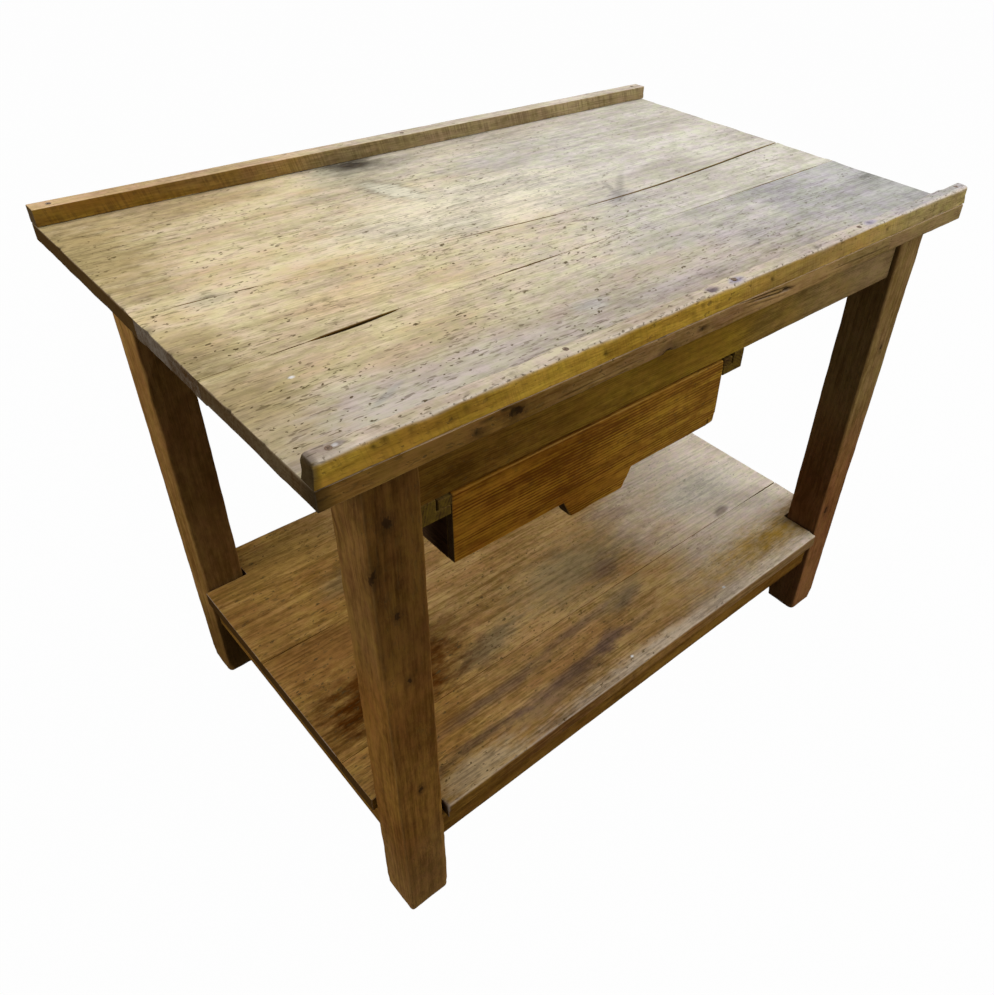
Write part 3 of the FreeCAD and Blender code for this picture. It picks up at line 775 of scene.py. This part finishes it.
def make_rims():
    low, high = box("front_rim_strip")

    def front_arris(flat):
        """Round along the upper arrises and at the ends, and sharper down to the seam below."""
        upper = np.where(flat[:, 0] < low[0] + 12 * mm, 6.5, 5.5)
        return 0.7 + np.clip((flat[:, 2] - low[2]) / (12 * mm), 0, 1) * (upper - 0.7)

    wood = Wood(low, high, (5, 4, 4), front_arris)
    from_end = (wood.flat[:, 0] - low[0]) / mm
    wood.roughen(0.7, (60, 20, 20), 6)
    wood.roughen(0.5 * np.clip(from_end / 20, 0.15, 1), (12, 6, 6), 7)
    for x, y, size, depth in (
            (-38, -314, 8, 2.4), (-71, -313, 6, 1.2), (2, -314, 7, 1.0), (269, -311, 8, 1.2),
            (-360, -316, 5, 1.4), (-309, -314, 5, 1.4), (150, -315, 9, 1.2), (-483, -312, 5, 0.5)):
        wood.dent((x, y, high[2] / mm), (size, size * 0.8, 9), depth, 0.5)
    for x, z, size, depth in (
            (-378, 791, 4, 2.0), (-366, 795, 4, 2.0), (-200, 790, 4, 1.2), (-60, 795, 4, 1.2),
            (-456, 797, 5, 1.0), (-444, 799, 5, 1.0), (60, 792, 4, 1.0), (300, 793, 5, 1.0)):
        wood.dent((x, low[1] / mm, z), (size, 9, size), depth, 0.8)
    wood.dent((-421, low[1] / mm, 797), (2.5, 9, 9), 1.2, 0.6)
    ends = np.clip(1 - from_end / 9, 0, 1)
    wood.dark = np.maximum(wood.dark, 0.62 * np.sqrt(ends))
    low_arris = wood.flat[:, 2] < low[2] + 6 * mm
    wood.worn = np.where(low_arris, wood.worn * 0.2, wood.worn) * (1 - ends)
    violet = (0.3, 0.28, 0.42)
    marks = (
        Mark(2, -314, 30, 16, 0.7, violet), Mark(269, -311, 30, 14, 0.6, violet),
        Mark(-38, -314, 22, 16, 0.7, (0.12, 0.09, 0.13)),
        Mark(-500, -311, 60, 40, 0.55, (0.13, 0.095, 0.075)),
        # The pale speck at x -482 is a painted glint of the nail head beside it
        Mark(-478, -311, 14, 9, 0.6, (0.24, 0.2, 0.2)), Mark(-482, -311, 7, 5, 0.9, (0.66, 0.62, 0.6)),
    )
    # The strip's top is paler with painted sheen, and greyer towards the right end with painted reflection
    finish = pine("front_strip_pine", 0, 4, strip_rose, strip_gold, (Wash(0, -110, 450, far_rose, far_gold),),
                  pith=(-330, 740), flecks=0.75, arris_pits=0.8, marks=marks, worn=0.75, rubbed=chalky_arris,
                  contrast=0.14, saw=0.18)
    wood.place("front_strip", finish, "front_rim_strip", "rim_wood")

    low, high = box("rear_rim_strip")
    wood = Wood(low, high, (6, 5, 4), lambda flat: np.where(flat[:, 2] < low[2] + 8 * mm, 0.7, 1.8))
    wood.roughen(0.8, (50, 12, 30), 8)
    finish = pine("rear_strip_pine", 0, 5, strip_tan, strip_moss, (Wash(0, -400, 100, far_tan, far_moss),),
                  pith=(300, 700), flecks=0.4, saw=0.36, worn=0.4, contrast=0.3)
    wood.place("rear_strip", finish, "rear_rim_strip", "rim_wood")


def rail_axis(name):
    return 0 if name in long_rails else 1


def rail_span(name):
    """A rail's box without its tenons, and the axis that it runs along."""
    low, high = box(name)
    axis = rail_axis(name)
    low[axis] += tenon_length
    high[axis] -= tenon_length
    return low, high, axis


def tenon_boxes(name, ease):
    """The boxes of a rail's two tenons, or with ease of their mortises."""
    low, high, axis = rail_span(name)
    middle = (low[1 - axis] + high[1 - axis]) / 2
    half = tenon_thickness / 2 + ease
    reach = tenon_length + (mortise_end_gap if ease else 0)
    found = []
    for start, end in ((low[axis] - reach, low[axis] + beyond), (high[axis] - beyond, high[axis] + reach)):
        a, b = low.copy(), high.copy()
        a[axis], b[axis] = start, end
        a[1 - axis], b[1 - axis] = middle - half, middle + half
        a[2] += tenon_shoulder - ease
        b[2] -= tenon_shoulder - ease
        found.append((a, b))
    return found


def shoulder_notches(name):
    """What is cut away round a rail's tenons."""
    low, high, axis = rail_span(name)
    spans = ((low[axis] - tenon_length - beyond, low[axis]), (high[axis], high[axis] + tenon_length + beyond))
    notches = []
    for span, tenon in zip(spans, tenon_boxes(name, 0)):
        for cut_axis in (1 - axis, 2):
            for side in (0, 1):
                notch = (low - beyond, high + beyond)
                notch[0][axis], notch[1][axis] = span
                notch[1 - side][cut_axis] = tenon[side][cut_axis]
                notches.append(notch)
    return notches


def make_rails():
    piths = {"apron_front": (-280, 900), "apron_rear": (290, 1000), "apron_left": (-470, 900),
             "apron_right": (500, 900), "shelf_rail_front": (-290, 300), "shelf_rail_rear": (290, 300),
             "shelf_rail_left": (-470, 300), "shelf_rail_right": (470, 300)}
    for seed, (name, pith) in enumerate(piths.items()):
        axis = rail_axis(name)
        lengthwise = np.eye(3)[axis]
        wood = Wood(*box(name), 6 + 3 * lengthwise, 1.4, shoulder_notches(name))
        wood.roughen(0.5, 30 + 90 * lengthwise, 10 + seed)
        brown, far_brown = (apron_brown, far_apron_brown) if "apron" in name else (rail_brown, apron_brown)
        washes = (Wash(0, -200, 480, far_brown),)
        contrast, ring = 0.45, 3.2 if name == "shelf_rail_front" else 3.4
        if name == "apron_front":
            # The front apron's left end carries painted shadow under the top
            brown, contrast, ring = apron_painted_shadow, 0.42, 2.4
            washes = (Wash(0, -390, 120, apron_gold), Wash(0, 20, 340, apron_far))
        finish = pine(name + "_pine", axis, 10 + seed, brown, brown, washes, ring=ring, contrast=contrast,
                      pith=pith, flecks=0.45, worn=0.2)
        wood.place(name + "_rail", finish, name, "frame_wood")


def wear_foot(wood, seed):
    """Rounds a leg's upright arrises more and more towards the floor, and lightens the wood there."""
    height = wood.points[:, 2] - wood.low[2]
    corner = foot_corner * (1.0 if seed == 0 else 1.5)
    radius = corner * swell(height / foot_wear) * (1 + 0.3 * unevenness(wood.flat, 20 * mm, 30 + seed))
    middle = (wood.low + wood.high)[:2] / 2
    offset = wood.points[:, :2] - middle
    reach = (wood.high - wood.low)[:2] / 2 - radius[:, None]
    past = np.maximum(np.abs(offset) - reach, 0)
    distance = np.maximum(np.linalg.norm(past, axis=1), hair)
    rounded = np.minimum(np.abs(offset), reach) + past * np.minimum(radius / distance, 1)[:, None]
    wood.points[:, :2] = middle + np.sign(offset) * rounded
    rubbed = swell(height / foot_rub) * (0.5 + 0.5 * unevenness(wood.flat, 20 * mm, 34))
    wood.worn = np.maximum(wood.worn, rubbed)


def make_legs():
    spots = {"leg_front_left": ((-437, 691, 14, 1), (-457, 633, 15, None), (-435, 571, 10, 1),
                                (-428, 467, 8, 1), (-427, 265, 9, 1)),
             "leg_front_right": ((445, 560, 10, 1), (430, 240, 12, 1))}
    # The front left leg's front face gets painted shade
    looks = {"leg_front_left": (near_leg_brown, Wash(1, -286, -296, near_leg_painted_shade),
                                Wash(2, 520, 420, lower_leg_brown), Wash(2, 200, 60, scuffed_brown)),
             "leg_front_right": (leg_brown, Wash(2, 300, 500, upper_leg_gold)),
             "leg_rear_left": (rear_leg_brown, Wash(2, 190, 80, dusky_brown)),
             "leg_rear_right": (rear_leg_brown,)}
    mortises = [found for name in long_rails + cross_rails for found in tenon_boxes(name, mortise_clearance)]
    for seed, (name, (brown, *washes)) in enumerate(looks.items()):
        low, high = box(name)
        own = [(a, b) for a, b in mortises if np.all(b > low) and np.all(a < high)]
        wood = Wood(low, high, (5, 5, 7), 3.6, own, (low[2], low[2] + 30 * mm, 3 * mm))
        wood.roughen(0.8, (30, 30, 140), 20 + seed)
        wood.roughen(0.3, (12, 12, 40), 24 + seed)
        knots = [Knot(x, low[1] / mm, z, width, across, 0.95) for x, z, width, across in spots.get(name, ())]
        wear_foot(wood, seed)
        pith = (-250, -420 if "left" in name else 430)
        # painted_under_shade paints shade on the faces that look in under the table
        finish = pine(name + "_pine", 2, 20 + seed, brown, brown, washes, ring=4.5, contrast=0.32, pith=pith,
                      flecks=0.45, knots=knots, worn=0.4, painted_under_shade=0.35)
        wood.place(name + "_post", finish, name, "frame_wood")


def leg_notches(low, high):
    """The space that a board leaves for the legs that stand at its corners."""
    notches = []
    for name in leg_names:
        a, b = box(name)
        notch = np.array((low - beyond, high + beyond))
        notch[:, 1] = a[1] - beyond, b[1] + beyond
        for axis, near_side in enumerate(("left", "front")):
            if near_side in name:
                notch[1][axis] = b[axis] + notch_gap
            else:
                notch[0][axis] = a[axis] - notch_gap
        if notch[0][1] < high[1] and notch[1][1] > low[1]:
            notches.append(notch)
    return notches


def make_shelf():
    olive = (0.16, 0.13, 0.07)
    plum = (0.115, 0.07, 0.052)
    worn_grey = (0.52, 0.43, 0.33)
    worn_rose = (0.62, 0.48, 0.37)
    russet = (0.19, 0.08, 0.021)
    gold = (0.36, 0.215, 0.055)
    ochre = (0.44, 0.265, 0.052)
    chalk = (0.75, 0.75, 0.75)
    marks = {
        "front": (
            Mark(-177, -262, 260, 30, 0.5, plum, turn=3), Mark(-90, -225, 360, 60, 0.28, russet, turn=3),
            Mark(-44, -235, 70, 36, 0.7, plum, turn=20), Mark(40, -192, 84, 30, 0.6, plum, turn=10),
            Mark(40, -180, 160, 50, 0.45, olive, turn=15), Mark(350, -251, 560, 110, 1.0, ochre, 1.3),
            Mark(455, -250, 90, 90, 0.75, russet), Mark(-380, -200, 220, 110, 0.6, russet),
            Mark(-120, -245, 380, 26, 0.75, plum, 1.1, turn=3),
            Mark(-240, -205, 300, 26, 0.65, plum, 1.1, turn=2),
            Mark(-300, -250, 260, 24, 0.6, plum, 1.1, turn=1),
            Mark(-60, -186, 220, 22, 0.6, plum, 1.1, turn=4),
            Mark(60, -296, 700, 46, 0.75, worn_grey, 1.15), Mark(330, -307, 400, 13, 0.8, worn_rose),
            Mark(-330, -284, 160, 50, 0.7, (0.54, 0.41, 0.24)), Mark(180, -278, 8, 6, 1.0, chalk),
            Mark(-41, -282, 7, 5, 1.0, chalk),
        ),
        "middle": (
            Mark(20, -84, 330, 160, 0.68, olive, 1.15, turn=8),
            Mark(58, -118, 100, 56, 0.6, plum, 1.1, turn=40),
            Mark(-195, -128, 170, 50, 0.65, (0.13, 0.105, 0.062), turn=10),
            Mark(328, -150, 50, 22, 0.6, plum, turn=10),
            Mark(-345, -97, 350, 190, 1.0, (0.066, 0.02, 0.002), 1.0),
            Mark(170, -30, 90, 34, 0.45, (0.24, 0.16, 0.13), turn=-10),
            # The pale mark at x 350 is painted reflection on the shelf's right end
            Mark(350, -80, 240, 110, 0.4, (0.62, 0.6, 0.5)), Mark(-380, 20, 280, 110, 0.7, russet),
        ),
        "rear": (
            Mark(-425, 115, 110, 150, 0.55, russet, 1.1), Mark(-339, 233, 240, 110, 0.55, gold),
            Mark(-270, 130, 160, 60, 0.45, olive, turn=10),
            Mark(259, 100, 220, 90, 0.45, (0.6, 0.45, 0.32)),
        ),
    }
    low = box("shelf_board_front")[0]
    front_seam = (((-460, -161), (470, -161)), ((388, 520, 1.6),))
    rear_seam = (((-460, 55), (470, 55)), ((-470, -350, 1.0),))
    joints = (None, front_seam, rear_seam, None)
    # The second wash turns the shelf paler and greyer towards the right end with painted reflection
    washes = (Wash(0, -330, -170, shelf_tan, shelf_edge_brown),
              Wash(0, 60, 390, far_shelf_tan, far_apron_brown))

    def front_arris(flat):
        """Round where feet and crates rub, along the front."""
        edge = (np.abs(flat[:, 1] - low[1]) < 12 * mm) & (flat[:, 2] > low[2] + 9 * mm)
        return np.where(edge, 4.5, 1.2)

    piths = {"front": (-420, 120), "middle": (-60, 110), "rear": (160, 90)}
    for seed, (side, pith) in enumerate(piths.items()):
        name = "shelf_board_" + side
        finish = pine(name + "_pine", 0, 40 + seed, shelf_orange, apron_brown, washes, ring=4.6, contrast=0.4,
                      pith=pith, flecks=0.85, calm=0.45, worn=0.55, rubbed=(0.6, 0.49, 0.39),
                      marks=marks[side], end_wood=shelf_end)
        plank(name, "shelf_plank_" + side, finish, "shelf_wood", joints[seed:seed + 2], None,
              front_arris if side == "front" else 1.2, 40 + 2 * seed)


def make_runners():
    for seed, side in enumerate(("left", "right")):
        stop_low, stop_high = box("drawer_stop_" + side)
        low, high = box("runner_" + side)
        past_left, past_right = (0, beyond) if side == "left" else (beyond, 0)
        notch_low = (stop_low[0] - past_left, low[1] - beyond, stop_low[2])
        notch_high = (stop_high[0] + past_right, high[1] + beyond, high[2] + beyond)
        wood = Wood(low, high, (6, 12, 6), 0.9, ((notch_low, notch_high),))
        finish = pine("runner_" + side + "_pine", 1, 50 + seed, runner_olive, runner_olive, pith=(0, 560),
                      flecks=0.4, worn=0.3, end_wood=runner_end)
        wood.place("runner_bar_" + side, finish, "runner_" + side, "drawer_wood")
        block = Wood(stop_low, stop_high, (4, 5, 4), 0.7)
        finish = pine("stop_" + side + "_pine", 0, 54 + seed, raw_inside, raw_inside, flecks=0.1, worn=0.2)
        block.place("stop_block_" + side, finish, "drawer_stop_" + side, "drawer_wood")


def make_drawer():
    low, high = box("drawer_front")
    side_left = box("drawer_side_left")
    side_right = box("drawer_side_right")
    bottom = box("drawer_bottom")
    groove = (bottom[0] - mortise_clearance, bottom[1] + mortise_clearance)
    foot = side_left[0][2]
    middle = (low[0] + high[0]) / 2
    half = tab_top_width / 2
    far = high + beyond
    near = low - beyond
    notches = (
        (near, (middle - half, far[1], foot)),
        ((middle + half, near[1], near[2]), (far[0], far[1], foot)),
        ((near[0], side_left[0][1], near[2]), (side_left[1][0], far[1], far[2])),
        ((side_right[0][0], side_right[0][1], near[2]), far),
        groove,
    )

    def arris(flat):
        upper = (flat[:, 2] > high[2] - 8 * mm) & (flat[:, 1] < low[1] + 8 * mm)
        tab = flat[:, 2] < low[2] + 12 * mm
        corner = (flat[:, 0] > high[0] - 14 * mm) & (flat[:, 2] < foot + 14 * mm)
        return np.where(upper, 2.2, np.where(tab, 3.2, np.where(corner, 5.5, 1.0)))

    wood = Wood(low, high, (5, 4, 5), arris, notches)
    wood.roughen(0.5, (140, 30, 20), 60)
    x, _, z = wood.points.T
    below = np.clip((foot - z) / (foot - low[2]), 0, 1)
    narrow = 1 + below * (tab_bottom_width / tab_top_width - 1)
    wood.points[:, 0] = np.where(z < foot, middle + (x - middle) * narrow, x)
    finish = pine("drawer_front_pine", 0, 60, drawer_orange, drawer_orange, (Wash(0, -220, 0, drawer_gold),),
                  ring=3.5, contrast=0.9, pith=(-420, 900), flecks=0.5, worn=0.6, rubbed=(0.5, 0.29, 0.07),
                  tilt=0.012)
    wood.place("drawer_face", finish, "drawer_front", "drawer_wood")

    for seed, name in enumerate(("drawer_side_left", "drawer_side_right", "drawer_back", "drawer_bottom",
                                 "drawer_cleat_left", "drawer_cleat_right")):
        axis = 0 if name in ("drawer_back", "drawer_bottom") else 1
        outside, cuts, lighter_rear = raw_inside if axis == 0 else runner_olive, (), ()
        if "side" in name:
            # The drawer's sides carry painted shade, darkest at the front and lighter towards the rear
            outside, cuts, lighter_rear = drawer_side_painted_shade, (groove,), (Wash(1, -230, -60, side_brown),)
        wood = Wood(*box(name), 6 + 6 * np.eye(3)[axis], 0.8, cuts)
        finish = pine(name + "_pine", axis, 61 + seed, outside, outside, lighter_rear, pith=(-60, 500), flecks=0.3,
                      worn=0.2, end_wood=runner_end)
        wood.place(name + "_wood", finish, name, "drawer_wood")


# Nails: one tree puts them on points, driven along each point's direction

def nail_tree(finish):
    """Geometry nodes that put a round-headed nail on every point, a little tilted."""
    tree = bpy.data.node_groups.new("driven_nails", "GeometryNodeTree")
    sockets = {"Points": "Geometry", "Head radius": "Float", "Head height": "Float", "Shank radius": "Float",
               "Length": "Float", "Depth": "Float", "Seed": "Int"}
    tree.interface.new_socket("Geometry", in_out="OUTPUT", socket_type="NodeSocketGeometry")
    for name, kind in sockets.items():
        tree.interface.new_socket(name, in_out="INPUT", socket_type="NodeSocket" + kind)
    nodes = Nodes(tree)
    outputs = nodes.node("NodeGroupInput", {}).outputs
    given = {name: Value(nodes, outputs[name]) for name in sockets}
    nail = nodes.node("GeometryNodeJoinGeometry", {})
    for radius, length, corners in (("Shank radius", "Length", 10), ("Head radius", "Head height", 18)):
        rod = nodes.add("GeometryNodeMeshCylinder", {
            "Vertices": corners, "Radius": given[radius], "Depth": given[length]}, "Mesh")
        rod = nodes.add("GeometryNodeTransform", {
            "Geometry": rod, "Translation": nodes.xyz(0.0, 0.0, given[length] * -0.5)})
        tree.links.new(rod.socket, nail.inputs[0])
    direction = nodes.add("GeometryNodeInputNamedAttribute", {"Name": "outwards"}, data_type="FLOAT_VECTOR")
    jitter = nodes.add("FunctionNodeRandomValue", {
        0: (-nail_tilt,) * 3, 1: (nail_tilt,) * 3, "Seed": given["Seed"]}, data_type="FLOAT_VECTOR")
    turn = nodes.add("FunctionNodeAlignRotationToVector", {
        "Vector": nodes.aim("ADD", direction, jitter)}, axis="Z")
    driven = nodes.add("ShaderNodeVectorMath", {0: direction, "Scale": given["Depth"] * -1.0},
                       operation="SCALE")
    points = nodes.add("GeometryNodeSetPosition", {"Geometry": given["Points"], "Offset": driven})
    nails = nodes.add("GeometryNodeInstanceOnPoints", {
        "Points": points, "Instance": Value(nodes, nail.outputs[0]), "Rotation": turn})
    real = nodes.add("GeometryNodeRealizeInstances", {"Geometry": nails})
    painted = nodes.add("GeometryNodeSetMaterial", {"Geometry": real, "Material": finish})
    tree.links.new(painted.socket, tree.nodes.new("NodeGroupOutput").inputs[0])
    return tree


def nail_places(node):
    """For each solid of a node, the middle of its head, the way out of the wood, its length and the
    radius of its head."""
    solids = bmesh.new()
    solids.from_mesh(frame["nodes"][node].data)
    bmesh.ops.remove_doubles(solids, verts=solids.verts, dist=hair)
    left = set(solids.verts)
    found = []
    while left:
        nail = set()
        edge = [left.pop()]
        while edge:
            vertex = edge.pop()
            nail.add(vertex)
            linked = {other.other_vert(vertex) for other in vertex.link_edges} & left
            left -= linked
            edge += linked
        places = np.array([vertex.co for vertex in nail])
        low, high = places.min(axis=0), places.max(axis=0)
        axis = int(np.argmax(high - low))
        head = (low + high) / 2
        spread = np.linalg.norm(np.delete(places - head, axis, axis=1), axis=1)
        outer = places[:, axis] > head[axis]
        side = 1 if spread[outer].max() > spread[~outer].max() else -1
        head[axis] = high[axis] if side > 0 else low[axis]
        found.append((head, side * np.eye(3)[axis], high[axis] - low[axis], spread.max()))
    solids.free()
    return sorted(found, key=lambda nail: tuple(nail[0].round(4)))


def make_nails():
    finish = iron("nail_iron")
    tree = nail_tree(finish)
    sockets = {item.name: item.identifier for item in tree.interface.items_tree if item.in_out == "INPUT"}
    for seed, node in enumerate(nail_nodes):
        heads, directions, lengths, radii = zip(*nail_places(node))
        mesh = bpy.data.meshes.new(node + "_points")
        mesh.from_pydata([head.tolist() for head in heads], [], [])
        outwards = mesh.attributes.new("outwards", "FLOAT_VECTOR", "POINT")
        outwards.data.foreach_set("vector", np.array(directions).ravel())
        points = bpy.data.objects.new(node + "_points", mesh)
        bpy.context.scene.collection.objects.link(points)
        driven = points.modifiers.new("driven_nails", "NODES")
        driven.node_group = tree
        small = node == "drawer_nails"
        for name, value in (("Head radius", float(radii[0])), ("Head height", (0.9 if small else 1.5) * mm),
                            ("Shank radius", (0.9 if small else 1.5) * mm), ("Length", float(lengths[0])),
                            ("Depth", 0.35 * mm if "board" in node else 0.0), ("Seed", seed)):
            driven[sockets[name]] = value
        bpy.context.view_layer.update()
        shown = points.evaluated_get(bpy.context.evaluated_depsgraph_get())
        plain = bpy.data.meshes.new_from_object(shown)
        bpy.data.objects.remove(points)
        place_piece(node.replace("nails", "driven_nails"), plain, node)


# Floor, backdrop and lights

def seen_share(nodes):
    """One for rays that show the backdrop: straight, mirrored or through glass."""
    path = nodes.node("ShaderNodeLightPath", {}).outputs
    straight, mirrored, through = (Value(nodes, path[name]) for name in (
        "Is Camera Ray", "Is Glossy Ray", "Is Transmission Ray"))
    return nodes.sum("MAXIMUM", nodes.sum("MAXIMUM", straight, mirrored), through)


def make_surroundings():
    white = (1.0, 1.0, 1.0)
    shadow_grey = (0.24, 0.235, 0.22)
    paint = Paint("pale_floor")
    glow = paint.add("ShaderNodeEmission", {"Color": white, "Strength": 1.0})
    matt = paint.add("ShaderNodeBsdfDiffuse", {"Color": shadow_grey})
    mixed = paint.add("ShaderNodeMixShader", {0: seen_share(paint) * 0.985, 1: matt, 2: glow})
    paint.join(paint.tree.nodes["Material Output"].inputs["Surface"], mixed)
    floor_mesh = bpy.data.meshes.new("floor")
    reach = 9.0
    floor_mesh.from_pydata([(-reach, -reach, 0), (reach, -reach, 0), (reach, reach, 0), (-reach, reach, 0)],
                           [], [(0, 1, 2, 3)])
    floor_mesh.materials.append(paint.material)
    floor = bpy.data.objects.new("floor", floor_mesh)
    bpy.context.scene.collection.objects.link(floor)

    world = bpy.data.worlds.new("pale_room")
    world.use_nodes = True
    bpy.context.scene.world = world
    room = Nodes(world.node_tree)
    background = room.tree.nodes["Background"]
    room.join(background.inputs["Color"], white)
    room.join(background.inputs["Strength"], room.fade(seen_share(room), 0.0, 1.0, 0.17, 1.0))

    lamps = {
        "overhead": ((0.3, 0.4, 3.2), (0.0, 0.0, 0.7), 2.4, 24.0),
        "right_window": ((2.8, -0.6, 1.9), (0.1, 0.0, 0.3), 1.5, 50.0),
        "front_window": ((1.7, -2.6, 2.3), (0.0, 0.0, 0.4), 1.6, 48.0),
        "left_window": ((-2.6, 0.4, 2.3), (-0.2, 0.0, 0.4), 1.6, 51.0),
    }
    for name, (place, target, size, power) in lamps.items():
        lamp = bpy.data.lights.new(name, "AREA")
        lamp.size = size
        lamp.energy = power
        stand = bpy.data.objects.new(name, lamp)
        stand.location = place
        stand.rotation_euler = (Vector(target) - Vector(place)).to_track_quat("-Z", "Y").to_euler()
        bpy.context.scene.collection.objects.link(stand)


make_camera()
make_top()
make_rims()
make_rails()
make_legs()
make_shelf()
make_runners()
make_drawer()
make_nails()
make_surroundings()
bpy.context.scene.view_settings.view_transform = "Standard"
